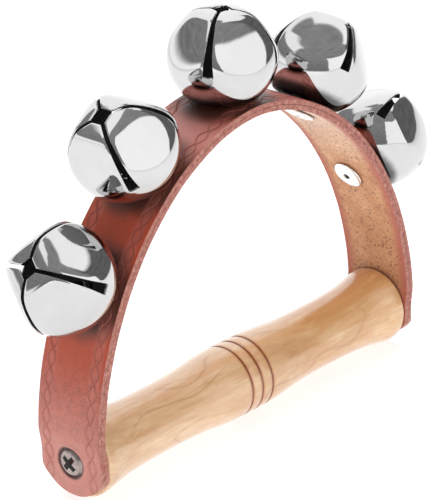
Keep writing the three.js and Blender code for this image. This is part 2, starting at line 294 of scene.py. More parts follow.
def leather_outer():
    k = Mat("leather_red_brown")
    obj = k.coords()
    u, v = k.uv_mm("strap")
    side, from_top = k.size(v), k.size(u)
    to_end = k.share(from_top, END_AT)
    big = k.noise(obj, 45, 4, 0.6)
    fine = k.noise(obj, 420, 5, 0.65)
    base = k.ramp(big, [(0.3, srgb(160, 70, 50)), (0.52, srgb(176, 83, 61)), (0.75, srgb(190, 98, 75))])
    base = k.tint(base, fine, [(0.36, 0.6), (0.56, 0.0)], srgb(130, 52, 38))
    # pale flecks over the grain: painted glints
    base = k.tint(base, k.noise(obj, 1300, 3, 0.7), [(0.54, 0.0), (0.64, 0.34)], srgb(214, 142, 122))
    # darker along the cut edges
    edge = k.share(k.add(side, k.jitter(obj, 260, 3, 1.4)), 13.0)
    base = k.tint(base, edge, [(0.86, 0.0), (0.96, 0.4)], srgb(138, 60, 46))
    # paler towards the two ends
    base = k.tint(base, to_end, [(0.68, 0.0), (0.92, 0.45)], srgb(220, 160, 150), "EASE")
    # warmer near each bell; paler midway to the top bell's neighbours, a painted sheen; and dark right under
    # a bell, painted shade
    along = k.size(k.sub(u, SEATS[0]))
    for seat in SEATS[1:]:
        along = k.least(along, k.size(k.sub(u, seat)))
    reach = k.add(k.hypot(along, k.mul(side, math.sqrt(0.7))), k.jitter(obj, 90, 4, 5.0))
    base = k.tint(base, k.share(reach, 38.0), [(0.5, 0.88), (0.95, 0.0)], srgb(168, 60, 26), "EASE")
    # painted sheen on the strap midway between the top bell and its neighbours
    sheen_midway = k.share(k.size(k.sub(from_top, abs(SEATS[1]) / 2)), 14.0)
    base = k.tint(base, sheen_midway, [(0.1, 0.5), (0.95, 0.0)], srgb(208, 150, 146), "EASE")
    # painted shade: the leather darkened right under each bell, where the bell shades it
    base = k.tint(base, k.share(reach, 24.0), [(0.46, 0.9), (0.76, 0.0)], srgb(64, 40, 34), "EASE")
    # dark in the dimple around each screw: painted shade in the gap round the head
    ring = k.add(k.hypot(k.sub(from_top, SCREW_S), v), k.jitter(obj, 700, 3, 0.5))
    base = k.tint(base, k.share(ring, 8.0), [(0.64, 0.95), (0.72, 0.0)], srgb(58, 26, 20))
    # the two crossing waves of each seam, cut into the leather and faint towards the ends
    wave = k.mul(k.math("SINE", k.mul(u, 2 * math.pi / WAVE_LEN)), WAVE_AMP)
    off = k.sub(side, STRAP_W / 2 - WAVE_IN)
    near = k.least(k.size(k.sub(off, wave)), k.size(k.add(off, wave)))
    base = k.tint(base, k.share(k.size(off), 3.4), [(0.45, 0.3), (0.8, 0.0)], srgb(186, 108, 96))
    cut = k.ramp(k.share(near, 1.2), [(0.10, 1.0), (0.45, 0.0)], "EASE")
    open_cut = k.ramp(to_end, [(0.5, 1.0), (0.85, 0.35)])
    patchy = k.ramp(k.noise(obj, 180, 3), [(0.35, 0.1), (0.65, 0.45)])
    base = k.mix(k.mul(cut, k.mul(patchy, open_cut)), base, srgb(112, 42, 30))
    scuffs = k.noise(obj, 900, 6, 0.7, 0.4)
    base = k.tint(base, scuffs, [(0.62, 0.0), (0.74, 0.3)], srgb(206, 128, 106))
    rough = k.add(k.add(k.mul(fine, 0.24), 0.26), k.mul(cut, 0.15))
    cells = k.ramp(k.voronoi(obj, 1500, "DISTANCE_TO_EDGE"), [(0.0, 0.0), (0.12, 1.0)])
    n = k.bump(cells, 0.3, 0.00012)
    n = k.bump(fine, 0.35, 0.0002, n)
    n = k.bump(big, 0.5, 0.0008, n)
    n = k.bump(k.sub(1.0, cut), 0.9, 0.0003, n)
    k.set(Coat_Weight=0.26, Coat_Roughness=0.3, Specular_IOR_Level=0.4)
    return k.finish(base, rough, n)


def leather_edge():
    k = Mat("leather_dyed_edge")
    obj = k.coords()
    fibres = k.noise(obj, 700, 6, 0.7)
    base = k.ramp(fibres, [(0.3, srgb(126, 60, 50)), (0.5, srgb(168, 102, 88)), (0.75, srgb(208, 158, 144))])
    base = k.tint(base, k.voronoi(obj, 900), [(0.12, 0.6), (0.3, 0.0)], srgb(92, 34, 26))
    # pale fibres show low down, on the rounded ends
    _, _, z = k.split(obj)
    low = k.ramp(k.math("MULTIPLY", z, 40.0, clamp=True), [(0.2, 0.8), (0.55, 0.0)])
    fray = k.ramp(k.noise(obj, 1500, 5, 0.75, 0.8), [(0.52, 0.0), (0.60, 1.0)])
    base = k.mix(k.mul(low, fray), base, srgb(232, 196, 164))
    return k.finish(base, k.add(k.mul(fibres, 0.25), 0.35), k.bump(fibres, 0.5, 0.0003))


def leather_inner():
    k = Mat("leather_flesh_side")
    obj = k.coords()
    u, v = k.uv_mm("strap")
    to_end = k.share(k.size(u), END_AT)
    mottle = k.noise(obj, 110, 5, 0.65)
    fibres = k.noise(obj, 1300, 6, 0.75, 0.6)
    tans = [(0.3, srgb(196, 138, 96)), (0.5, srgb(216, 162, 118)), (0.72, srgb(232, 186, 146))]
    base = k.ramp(mottle, tans)
    # paler near the top of the arch, painted light; darker towards the ends
    base = k.tint(base, to_end, [(0.2, 0.8), (0.5, 0.0)], srgb(252, 234, 218))
    base = k.tint(base, to_end, [(0.6, 0.0), (0.85, 0.5)], srgb(178, 118, 80))
    base = k.tint(base, fibres, [(0.4, 0.5), (0.60, 0.0)], srgb(162, 102, 68))
    pores = k.ramp(k.voronoi(obj, 900), [(0.20, 0.9), (0.40, 0.0)])
    some = k.ramp(k.noise(obj, 420, 3), [(0.46, 0.0), (0.56, 1.0)])
    base = k.mix(k.mul(pores, some), base, srgb(96, 50, 34))
    # reddish along both edges
    bleed = k.share(k.add(k.size(v), k.jitter(obj, 330, 5, 3.4, 0.7)), 13.0)
    base = k.tint(base, bleed, [(0.68, 0.0), (0.9, 0.85)], srgb(178, 96, 80))
    k.set(Sheen_Weight=0.15, Sheen_Roughness=0.5)
    n = k.bump(mottle, 0.5, 0.0007, k.bump(fibres, 0.6, 0.0003))
    return k.finish(base, k.add(k.mul(fibres, 0.2), 0.62), n)


def waxed_thread():
    k = Mat("waxed_thread")
    obj = k.coords()
    twist = k.node("ShaderNodeTexWave", i_Scale=900.0, i_Distortion=1.5, i_Detail=2.0)
    k.link(obj, twist.inputs["Vector"])
    twist = twist.outputs["Fac"]
    base = k.ramp(twist, [(0.2, srgb(140, 64, 50)), (0.8, srgb(178, 96, 80))])
    # paler low down, like the leather around it
    _, _, z = k.split(obj)
    low = k.math("MULTIPLY", z, 12.0, clamp=True)
    base = k.tint(base, low, [(0.2, 0.75), (0.8, 0.0)], srgb(206, 140, 128))
    return k.finish(base, k.add(k.mul(twist, 0.2), 0.4), k.bump(twist, 0.5, 0.0002))


# ------------------------------------------------------------------ wood
def maple():
    k = Mat("lacquered_maple")
    obj = k.coords()
    x, y, _ = k.split(obj)

    def lengthwise(stretch, *noise_values):
        """Noise drawn out along the handle."""
        return k.noise(k.coords((stretch, 1, 1)), *noise_values)

    grain = lengthwise(0.06, 620, 6, 0.6, 0.25)
    figure = lengthwise(0.3, 42, 5, 0.66, 0.8)
    # the pale tones, on the left and middle, are lightened to stand in for the lacquer's haze, a painted
    # sheen; the warm tones towards the right end are the wood's own
    pale = [(0.32, srgb(204, 156, 110)), (0.5, srgb(221, 183, 142)), (0.68, srgb(234, 204, 170))]
    warm = [(0.32, srgb(190, 130, 72)), (0.5, srgb(208, 156, 101)), (0.68, srgb(224, 180, 130))]
    toward_right = k.add(k.mul(x, 12.0), k.mul(lengthwise(0.5, 22, 2), 0.8))
    warmth = k.ramp(toward_right, [(0.25, 0.0), (0.85, 1.0)])
    base = k.mix(warmth, k.ramp(figure, pale), k.ramp(figure, warm))
    base = k.tint(base, grain, [(0.34, 0.4), (0.55, 0.0)], srgb(190, 134, 84))
    # the ripple figure of the maple, painted lighter as glints
    ripple = lengthwise(0.22, 260, 5, 0.6, 0.3)
    base = k.tint(base, ripple, [(0.52, 0.0), (0.66, 0.34)], srgb(240, 212, 174))
    # growth rings cut lengthwise: long thin lines that close into pointed loops
    ring = k.math("FRACT", k.add(k.mul(lengthwise(0.35, 38, 2, 0.5), 9.0), k.mul(y, 60.0)))
    line = k.ramp(k.size(k.sub(ring, 0.5)), [(0.0, 1.0), (0.04, 0.35), (0.14, 0.0)])
    faded = k.ramp(k.noise(obj, 55, 2), [(0.40, 0.0), (0.58, 0.5)])
    base = k.mix(k.mul(line, faded), base, srgb(158, 98, 54))
    base = k.tint(base, lengthwise(0.05, 2300, 3, 0.5), [(0.60, 0.0), (0.74, 0.3)], srgb(168, 112, 66))
    # scorching in and around the three turned lines
    from_middle = k.size(k.mul(x, 1000.0))
    to_line = k.least(from_middle, k.size(k.sub(from_middle, GROOVE_X)))
    to_line = k.share(k.add(to_line, k.jitter(obj, 700, 3, 0.3)), 1.6)
    base = k.tint(base, to_line, [(0.3, 0.8), (0.85, 0.0)], srgb(190, 122, 62))
    base = k.tint(base, to_line, [(0.16, 1.0), (0.34, 0.0)], srgb(124, 54, 6))
    lacquer = k.bump(lengthwise(0.35, 160, 4, 0.6, 0.5), 0.22, 0.0006)
    k.link(lacquer, k.shader.inputs["Coat Normal"])
    k.set(Coat_Weight=1.0, Coat_Roughness=0.16, Coat_IOR=1.6, Specular_IOR_Level=0.5)
    k.set(Sheen_Weight=0.6, Sheen_Roughness=0.25)
    return k.finish(base, k.add(k.mul(grain, 0.15), 0.28), k.bump(grain, 0.12, 0.0002))


def end_grain():
    k = Mat("maple_end_grain")
    obj = k.coords()
    rings = k.node("ShaderNodeTexWave", wave_type="RINGS", rings_direction="X", i_Scale=260.0,
                   i_Distortion=3.0, i_Detail=3.0)
    k.link(obj, rings.inputs["Vector"])
    pores = k.noise(obj, 2200, 3)
    base = k.ramp(rings.outputs["Fac"], [(0.2, srgb(184, 132, 84)), (0.8, srgb(222, 178, 126))])
    base = k.tint(base, pores, [(0.55, 0.0), (0.7, 0.6)], srgb(120, 78, 46))
    return k.finish(base, k.add(k.mul(pores, 0.3), 0.4))


# ------------------------------------------------------------------ metal
def bright_plate():
    k = Mat("bright_plate")
    obj = k.coords()
    haze = k.noise(obj, 60, 4, 0.6)
    fine = k.noise(obj, 900, 3)
    base = k.ramp(haze, [(0.3, (0.57, 0.57, 0.57)), (0.7, (0.625, 0.625, 0.63))])
    # darker low down round the seat: painted shade, a guess that keeps the mirrored strap faint there
    height, _ = k.uv_mm("shell")
    height = k.add(height, k.jitter(obj, 240, 4, 1.2))
    base = k.tint(base, k.share(height, 8.0), [(0.30, 0.9), (0.60, 0.0)], (0.066, 0.07, 0.072), "EASE")
    rough = k.add(k.mul(haze, 0.05), k.add(k.mul(fine, 0.02), 0.03))
    n = k.bump(k.noise(obj, 110, 1), 0.10, 0.0008)
    n = k.bump(k.noise(k.coords((1, 1, 0.35)), 700, 3), 0.02, 0.0003, n)
    k.set(Metallic=1.0)
    return k.finish(base, rough, n)


def bright_cut_edge():
    k = Mat("bright_cut_edge")
    fine = k.noise(k.coords(), 1500, 3)
    base = k.ramp(fine, [(0.3, (0.82, 0.82, 0.82)), (0.7, (0.95, 0.95, 0.95))])
    k.set(Metallic=1.0)
    return k.finish(base, k.add(k.mul(fine, 0.15), 0.15))


def shaded_dark_inside():
    k = Mat("shaded_dark_inside")
    fine = k.noise(k.coords(), 300, 4)
    # inside the bell shells, taken as unplated steel and darkened further as painted shade; the screws'
    # cross recesses take it too, as painted shade
    base = k.ramp(fine, [(0.3, (0.07, 0.07, 0.07)), (0.7, (0.13, 0.129, 0.128))])
    k.set(Metallic=0.0, Specular_IOR_Level=0.2)
    return k.finish(base, k.add(k.mul(fine, 0.2), 0.55))


def metal(name, dark, light, rough, spread, scale=500):
    k = Mat(name)
    fine = k.noise(k.coords(), scale, 4)
    k.set(Metallic=1.0)
    base = k.ramp(fine, [(0.3, dark), (0.7, light)])
    return k.finish(base, k.add(k.mul(fine, spread), rough), k.bump(fine, 0.15, 0.0002))


M = {
    "outer": leather_outer(),
    "edge": leather_edge(),
    "inner": leather_inner(),
    "maple": maple(),
    "endgrain": end_grain(),
    "plate": bright_plate(),
    "cut": bright_cut_edge(),
    "inside": shaded_dark_inside(),
    "rivet": metal("rivet_aluminium", (0.80, 0.80, 0.81), (0.92, 0.92, 0.92), 0.16, 0.14),
    "zinc": metal("zinc_plate", (0.28, 0.22, 0.205), (0.50, 0.43, 0.41), 0.25, 0.25, 700),
    "steel": metal("plain_steel", (0.66, 0.66, 0.67), (0.84, 0.84, 0.85), 0.08, 0.12, 600),
    # dark steel for the rivets' holes: painted shade
    "dark_steel": metal("hole_shade_steel", (0.05, 0.05, 0.05), (0.16, 0.155, 0.15), 0.3, 0.2, 600),
    "thread": waxed_thread(),
}


# ------------------------------------------------------------------ mesh helpers
def add_object(name, data):
    ob = bpy.data.objects.new(name, data)
    scene.collection.objects.link(ob)
    return ob


def new_piece(name, verts, faces, mats, face_mat=None, smooth=True, uv=None, uv_name="strap"):
    """A mesh object; face_mat picks each face's material, and uv has two values for each vertex."""
    me = bpy.data.meshes.new(name)
    me.from_pydata([tuple(v) for v in verts], [], [tuple(f) for f in faces])
    for m in mats:
        me.materials.append(M[m])
    if face_mat is not None:
        me.polygons.foreach_set("material_index", face_mat)
    me.polygons.foreach_set("use_smooth", [smooth] * len(me.polygons))
    if uv is not None:
        layer = me.uv_layers.new(name=uv_name)
        corners = np.empty(len(me.loops), dtype=np.int32)
        me.loops.foreach_get("vertex_index", corners)
        layer.data.foreach_set("uv", np.asarray(uv, dtype=np.float32)[corners].ravel())
    me.validate()
    me.update()
    return add_object(name, me)


def reshape(ob, *steps):
    """Run bmesh steps on an object's mesh, one after another."""
    bm = bmesh.new()
    bm.from_mesh(ob.data)
    for step in steps:
        step(bm)
    bm.to_mesh(ob.data)
    bm.free()


def face_out(bm):
    bmesh.ops.recalc_face_normals(bm, faces=bm.faces)


def weld(bm):
    """Join the points that lie on each other."""
    bmesh.ops.remove_doubles(bm, verts=bm.verts, dist=1e-7)


def fill_holes(bm):
    bmesh.ops.holes_fill(bm, edges=[e for e in bm.edges if e.is_boundary], sides=0)


def bevel(ob, width, segments, angle):
    """Round the edges that are sharper than an angle in degrees; width is in metres."""
    b = ob.modifiers.new("round", "BEVEL")
    b.width, b.segments = width, segments
    b.limit_method, b.angle_limit = "ANGLE", math.radians(angle)
    b.harden_normals = False


def revolve(name, profile, segments, matrix, mats, mat_of=lambda row: 0):
    """Surface of revolution about local Z from (radius, height); a zero radius closes it."""
    verts, rows = [], []
    for r, z in profile:
        around = segments if r > 1e-6 else 1
        rows.append(range(len(verts), len(verts) + around))
        for i in range(around):
            a = 2 * math.pi * i / segments
            verts.append(matrix @ Vector((r * math.cos(a) * MM, r * math.sin(a) * MM, z * MM)))
    faces, face_mat = [], []
    for j, (a, b) in enumerate(zip(rows, rows[1:])):
        for i in range(segments):
            i2 = (i + 1) % segments
            if len(a) == 1:
                faces.append((a[0], b[i], b[i2]))
            elif len(b) == 1:
                faces.append((a[i], b[0], a[i2]))
            else:
                faces.append((a[i], b[i], b[i2], a[i2]))
            face_mat.append(mat_of(j))
    return new_piece(name, verts, faces, mats, face_mat)


def catmull(points, per):
    """Smooth line through points, with per steps between neighbours."""
    p = [points[0]] + list(points) + [points[-1]]
    out = []
    for i in range(1, len(p) - 2):
        for step in range(per):
            t = step / per
            out.append(tuple(
                0.5 * (2 * b + (c - a) * t + (2 * a - 5 * b + 4 * c - d) * t * t
                       + (3 * b - a - 3 * c + d) * t ** 3)
                for a, b, c, d in zip(p[i - 1], p[i], p[i + 1], p[i + 2])))
    out.append(tuple(points[-1]))
    return out


# ------------------------------------------------------------------ strap
def end_half_width(s):
    """Half width of the strap's outline: full, then the arc of the rounded end."""
    past = END_R - (HALF - np.abs(s))
    arc = np.sqrt(np.maximum(END_R ** 2 - np.maximum(past, 0) ** 2, 0))
    return np.minimum(STRAP_W / 2, np.where(past > 0, arc, STRAP_W / 2))


def hill(distance, width):
    return np.exp(-(distance / width) ** 2)


def face_relief(s, y):
    """How deep the outer face lies: the seams pucker it and each screw sinks into it."""
    side = np.abs(y)
    off = side - (STRAP_W / 2 - WAVE_IN)
    depth = 0.10 * hill(off, 1.9)
    depth += 0.05 * np.sin(2 * np.pi * s / WAVE_LEN * 2) * hill(off, 1.6)
    depth += 0.16 * np.clip((side - STRAP_W / 2 + 1.6) / 1.6, 0, 1) ** 2
    from_screw = np.hypot(np.abs(s) - SCREW_S, y)
    sink = np.clip((5.25 - from_screw) / 1.5, 0, 1)
    depth += 1.15 * sink * sink * (3 - 2 * sink)
    depth -= 0.16 * hill(from_screw - 6.1, 0.9)
    return depth


PLY_COLUMNS = 52
END_ROW_HALF = 0.9                   # half width of the short last row
TOP_FACE, EDGE_FACE, BOTTOM_FACE = 0, 1, 2


def ply_grid():
    """Rows of points along a ply, close together round its ends, and across it, close at its edges."""
    corner_turn = math.asin(STRAP_W / 2 / END_R)
    turns = np.linspace(corner_turn, 0.06, 22)[1:]
    corner = HALF - (END_R - END_R * math.cos(corner_turn))
    ends = [corner + END_R * (math.cos(a) - math.cos(corner_turn)) for a in turns]
    rows = np.array([-e for e in reversed(ends)] + list(np.linspace(-corner, corner, 541)) + ends)
    across = np.linspace(-1, 1, PLY_COLUMNS + 1)
    across = np.sign(across) * (1 - (1 - np.abs(across)) ** 1.15)
    half = end_half_width(rows)
    half[0] = half[-1] = END_ROW_HALF
    s = np.repeat(rows[:, None], PLY_COLUMNS + 1, 1)
    y = half[:, None] * across[None, :]
    # the cut edges waver a little, except at the ends
    waver = np.array([noise.noise(Vector((row * 0.09, 3.1, 0))) for row in rows])[:, None] * 0.12
    return s, y + waver * (np.abs(s) < HALF - 4)


def ply_piece(name, s, y, top, bottom, top_mat, bottom_mat):
    """A ply as a closed sheet between two depths given over the grid."""
    upper, lower = (strap_point(s, y, depth).reshape(-1, 3) for depth in (top, bottom))
    n = PLY_COLUMNS + 1
    last = len(s) - 1
    total = len(upper)
    faces, face_mat = [], []

    def quad(corners, mat, flip=False):
        faces.append(tuple(reversed(corners)) if flip else corners)
        face_mat.append(mat)

    for i in range(last):
        for j in range(PLY_COLUMNS):
            q = i * n + j
            quad((q, q + 1, q + n + 1, q + n), TOP_FACE)
            quad((total + q, total + q + n, total + q + n + 1, total + q + 1), BOTTOM_FACE)
    for i in range(last):
        for j in (0, PLY_COLUMNS):
            q = i * n + j
            quad((q, q + n, total + q + n, total + q), EDGE_FACE, flip=j > 0)
    for i in (0, last):
        for j in range(PLY_COLUMNS):
            q = i * n + j
            quad((q, q + 1, total + q + 1, total + q), EDGE_FACE, flip=i == 0)
    uv = np.stack([s.ravel() * MM, y.ravel() * MM], -1)
    ob = new_piece(name, np.concatenate([upper, lower]), faces, [top_mat, "edge", bottom_mat], face_mat,
                   uv=np.concatenate([uv, uv]))
    reshape(ob, face_out)
    bevel(ob, 0.00038, 3, 50)
    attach(ob, ROOT)
    return ob


grid_s, grid_y = ply_grid()
flat = np.zeros_like(grid_s)
nap = 0.05 * np.abs(np.sin(grid_s * 1.7 + 2.2 * np.sin(grid_y * 0.8)) * np.cos(grid_y * 1.3 + grid_s * 0.31))
outer = ply_piece("strap_outer_ply", grid_s, grid_y, face_relief(grid_s, grid_y), flat + PLY,
                  "outer", "edge")
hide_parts("strap_outer_leather")
inner = ply_piece("strap_inner_ply", grid_s, grid_y, flat + PLY + GLUE_GAP, flat + BOTH_PLIES - nap,
                  "edge", "inner")
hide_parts("strap_inner_leather")


# ------------------------------------------------------------------ stitching
SEAM_SHORT, SEAM_STEP = 7.5, 0.62    # how far a seam stops before the end, and between its points
THREAD_R = 0.14


def stitch(name, side, phase):
    """One waving thread of a seam, which crosses over and under the other."""
    cu = bpy.data.curves.new(name, "CURVE")
    cu.dimensions = "3D"
    cu.bevel_depth = THREAD_R * MM
    cu.bevel_resolution = 2
    cu.use_fill_caps = True
    s = np.arange(-HALF + SEAM_SHORT, HALF - SEAM_SHORT, SEAM_STEP)
    turn = 2 * np.pi * s / WAVE_LEN
    y = side * (STRAP_W / 2 - WAVE_IN + phase * WAVE_AMP * np.sin(turn))
    sunk = 0.08 - 0.07 * phase * np.cos(turn)
    points = strap_point(s, y, face_relief(s, y) + sunk)
    spline = cu.splines.new("POLY")
    spline.points.add(len(points) - 1)
    spline.points.foreach_set("co", np.concatenate([points, np.ones((len(points), 1))], 1).ravel())
    cu.materials.append(M["thread"])
    ob = add_object(name, cu)
    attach(ob, ROOT)


for edge, side in (("front", -1), ("back", 1)):
    for strand, phase in (("a", 1), ("b", -1)):
        stitch(f"stitch_{edge}_{strand}", side, phase)


# ------------------------------------------------------------------ handle
HANDLE_HALF = float(handle_hi[0] - handle_lo[0]) / 2 / MM
WAIST_R, SWELL_R, FLARE_R = 10.6, 12.15, 12.9
GROOVE = [(-0.55, 0), (-0.36, -0.05), (-0.22, -0.24), (-0.1, -0.36), (0, -0.4),
          (0.1, -0.36), (0.22, -0.24), (0.36, -0.05), (0.55, 0)]
END_FACE_ROWS = 4


def handle():
    curve = catmull([(3.0, SWELL_R), (9, SWELL_R - 0.05), (15, SWELL_R - 0.5), (22.5, WAIST_R + 0.35),
                     (33, WAIST_R), (46, WAIST_R + 0.1), (57, WAIST_R + 0.7), (63, WAIST_R + 1.5),
                     (67, FLARE_R - 0.1), (HANDLE_HALF - 1.1, FLARE_R - 0.02)], 7)
    grooves = [(middle + dx, SWELL_R + dr) for middle in (0.0, GROOVE_X) for dx, dr in GROOVE]
    half = sorted([p for p in grooves if p[0] >= 0] + [p for p in curve if p[0] > GROOVE_X + 0.85])
    for inset, drop in ((0.75, 0.06), (0.4, 0.2), (0.15, 0.45), (0, 0.9)):
        half.append((HANDLE_HALF - inset, FLARE_R - drop))
    half += [(HANDLE_HALF, r) for r in (9, 6, 3.2, 2.6)]
    profile = [(r, -x) for x, r in reversed(half)] + [(r, x) for x, r in half if x > 1e-6]
    lying = Matrix.Translation((0, 0, AXIS_Z)) @ Matrix.Rotation(math.pi / 2, 4, "Y")
    last = len(profile) - 1
    ob = revolve("turned_handle", profile, 96, lying, ["maple", "endgrain"],
                 lambda row: int(row < END_FACE_ROWS or row >= last - END_FACE_ROWS))
    reshape(ob, fill_holes, face_out)
    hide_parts("wooden_handle")
    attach(ob, ROOT)


handle()


# ------------------------------------------------------------------ screws
SCREW_HEAD = [(0, 1.05), (1.2, 1.03), (2.2, 0.94), (3.1, 0.76), (3.7, 0.55), (4.05, 0.34), (4.25, 0.08),
              (4.4, -0.25), (4.75, -0.42), (4.6, -0.55), (3.6, -1.4), (2.4, -2.5), (1.7, -3.1), (1.65, -5.4)]
SCREW_POINT = [(1.5, -22.2), (0.9, -23.8), (0, -24.8)]
CORE_R, RIDGE_R, PITCH_MM = 1.62, 2.3, 2.2


def cut_with(ob, cutter):
    """Cut one object out of another for good; the cut keeps the cutter's material."""
    m = ob.modifiers.new("cut", "BOOLEAN")
    m.operation, m.object, m.solver = "DIFFERENCE", cutter, "EXACT"
    m.material_mode = "TRANSFER"
    bpy.context.view_layer.update()
    graph = bpy.context.evaluated_depsgraph_get()
    me = bpy.data.meshes.new_from_object(ob.evaluated_get(graph), preserve_all_data_layers=True,
                                         depsgraph=graph)
    ob.modifiers.clear()
    spare = [ob.data, cutter.data]
    ob.data = me
    bpy.data.objects.remove(cutter)
    for old in spare:
        bpy.data.meshes.remove(old)


def recess_arm(name, matrix):
    """One tapering arm of the cross recess, as a block to cut with."""
    verts = []
    for z, half_w, half_l in ((1.6, 0.98, 3.15), (-1.7, 0.55, 1.8)):
        for sx, sy in ((-1, -1), (1, -1), (1, 1), (-1, 1)):
            verts.append(matrix @ Vector((sx * half_l * MM, sy * half_w * MM, z * MM)))
    faces = [(0, 1, 2, 3), (7, 6, 5, 4), (0, 4, 5, 1), (1, 5, 6, 2), (2, 6, 7, 3), (3, 7, 4, 0)]
    block = new_piece(name, verts, faces, ["inside"], smooth=False)
    reshape(block, face_out)
    return block


def screw(side, node):
    m = Matrix(((0, 0, side, side * LEG_X * MM), (0, 1, 0, 0), (-side, 0, 0, AXIS_Z), (0, 0, 0, 1)))
    thread = []
    z = -5.6
    while z > -21.5:
        thread += [(CORE_R, z), (RIDGE_R - 0.05, z - 0.75), (RIDGE_R, z - 0.9), (CORE_R, z - 1.5)]
        z -= PITCH_MM
    ob = revolve(f"cross_{node}", SCREW_HEAD + thread + SCREW_POINT, 48, m, ["zinc"])
    # the cut leaves the cross recess in the dark inside material: painted shade
    for turn in (50, 140):
        arm = m @ Matrix.Rotation(math.radians(turn), 4, "Z")
        cut_with(ob, recess_arm(f"recess_{node}_{turn}", arm))
    bevel(ob, 0.00008, 2, 50)
    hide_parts(node)
    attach(ob, ROOT)


screw(-1, "screw_left")
screw(1, "screw_right")


# ------------------------------------------------------------------ jingle bells
BALL_R, CENTRE_UP = 17.35, 14.2
TIP_FACE, PETAL_FACE = 14.6, 14.4    # from the centre to the pressed faces
PETAL_TILT = math.radians(58)
FACE_R = 65.0                        # the pressed faces keep a slight curve
BLEND, BASE_BLEND = 22, 60           # a higher power blends more sharply
BASE_FACE = CENTRE_UP - 0.3
RIVET_HOLE_R = 1.95
SPIN = {1: 6, 2: 47, 3: 27.5, 4: 67, 5: 31}    # how each bell is turned on its rivet, in degrees
SLOT_Z = [-2.2, -1.4, 1.2, 4.4, 9.7, 15.0, 20.0]
SLOT_HALF_W = [1.72, 1.7, 1.5, 1.2, 0.95, 0.6, 0.55]
SLOT_END = math.radians(97.0)
TIP_HALF = 2.7                       # half the square opening at the tip
SHEET = 0.7
QUARTER = math.pi / 2
PETAL_COLS, SLOT_COLS, SLOT_ROWS, BASE_ROWS = 30, 4, 46, 34


def pressed(d, near):
    """Distance to a pressed face along a direction whose cosine to the face's axis is d."""
    q = FACE_R - near
    return np.maximum(np.sqrt(np.maximum((q * d) ** 2 + FACE_R ** 2 - q * q, 0)) - q * d, 1.0)


def ball_r(polar, az):
    """Radius of the shell: a ball pressed flat at the tip, on four petals and at its base."""
    c, s = np.cos(polar), np.sin(polar)
    total = BALL_R ** -BLEND + np.where(c > 0.2, pressed(c, TIP_FACE) ** -BLEND, 0)
    for k in range(4):
        d = math.cos(PETAL_TILT) * c + math.sin(PETAL_TILT) * s * np.cos(az - math.radians(45 + 90 * k))
        total = total + np.where(d > 0.2, pressed(d, PETAL_FACE) ** -BLEND, 0)
    r = total ** (-1 / BLEND)
    base = BASE_FACE / np.maximum(-c, 0.05)
    return (r ** -float(BASE_BLEND) + base ** -float(BASE_BLEND)) ** (-1 / BASE_BLEND)


def slot_edge(polar):
    """Azimuth of a slot's edge, from the middle of the slot."""
    r = ball_r(polar, 0.03)
    w = np.interp(r * math.cos(polar), SLOT_Z, SLOT_HALF_W)
    return math.asin(min(1, w / (r * math.sin(polar))))


def petal_shares():
    """Places of a petal's columns from slot to slot, 0 to 1, closer together at its edges."""
    u = np.linspace(0, 1, PETAL_COLS + 1)
    u = 0.5 - 0.5 * np.cos(np.pi * u) * (1 - 0.25 * np.sin(np.pi * u) ** 2)
    return (u - u[0]) / (u[-1] - u[0])


def across_petal(polar, share):
    edge = slot_edge(polar)
    return edge + share * (QUARTER - 2 * edge)


def tip_polar(share):
    """Where a column of a petal meets the square opening at the tip."""
    polar = 0.22
    for _ in range(12):
        az = across_petal(polar, share)
        from_axis = TIP_HALF / math.cos(az - math.pi / 4)
        polar = math.asin(min(1, from_axis / float(ball_r(np.array(polar), np.array(az)))))
    return polar


SHARES = petal_shares()
TIPS = [tip_polar(share) for share in SHARES]


def bell_matrix(k):
    """The seat of a bell: Z along its rivet, X along the strap."""
    n = Vector(joints[f"bell_{k}_spin"]["axis"]).normalized()
    t = Vector((0, 1, 0)).cross(n).normalized()
    m = Matrix((t, n.cross(t), n)).transposed().to_4x4()
    m.translation = Vector(seat_of[k])
    return m


def roll_in(polar, az, tip):
    """How far the sheet rolls in at a cut edge."""
    edge = slot_edge(polar)
    to_slot = min(az - edge, QUARTER - edge - az) * BALL_R * math.sin(polar)
    to_tip = (polar - tip) * BALL_R
    return 0.10 * hill(to_slot, 0.35) * min(1, (SLOT_END - polar) * 6) + 0.10 * hill(to_tip, 0.35)


def shell_mesh(place):
    """Points and faces of a shell, its petals first; place gives a point from polar, azimuth, quarter."""
    points, index, faces = [], {}, []

    def add(key, point):
        if key not in index:
            index[key] = len(points)
            points.append(point)

    for q in range(4):
        for j in range(SLOT_ROWS + 1):
            for i, (share, tip) in enumerate(zip(SHARES, TIPS)):
                polar = tip + (SLOT_END - tip) * (j / SLOT_ROWS)
                az = across_petal(polar, share)
                add(("petal", q, i, j), place(polar, az, q) * (1 - roll_in(polar, az, tip) / BALL_R))
        for j in range(SLOT_ROWS):
            for i in range(PETAL_COLS):
                corners = ((i, j), (i, j + 1), (i + 1, j + 1), (i + 1, j))
                faces.append([index["petal", q, a, b] for a, b in corners])
    # below the slots the sheet runs all the way round, down to the rivet hole
    edge = slot_edge(SLOT_END)
    hole = math.pi - math.atan(RIVET_HOLE_R / BASE_FACE)
    columns = PETAL_COLS + SLOT_COLS

    def key_at(q, c, j):
        """Column c of quarter q: up to PETAL_COLS it is the petal's, and the rest cross the next slot."""
        if c == columns:
            q, c = (q + 1) % 4, 0
        return ("petal", q, c, SLOT_ROWS) if j == 0 and c <= PETAL_COLS else ("base", q, c, j)

    for j in range(BASE_ROWS + 1):
        polar = SLOT_END + (hole - SLOT_END) * (j / BASE_ROWS)
        for q in range(4):
            for c in range(columns):
                if c <= PETAL_COLS:
                    az = edge + SHARES[c] * (QUARTER - 2 * edge)
                else:
                    az = QUARTER - edge + (c - PETAL_COLS) / SLOT_COLS * 2 * edge
                add(key_at(q, c, j), place(polar, az, q))
    for j in range(BASE_ROWS):
        for q in range(4):
            for c in range(columns):
                corners = ((c, j), (c, j + 1), (c + 1, j + 1), (c + 1, j))
                faces.append([index[key_at(q, a, b)] for a, b in corners])
    return points, faces


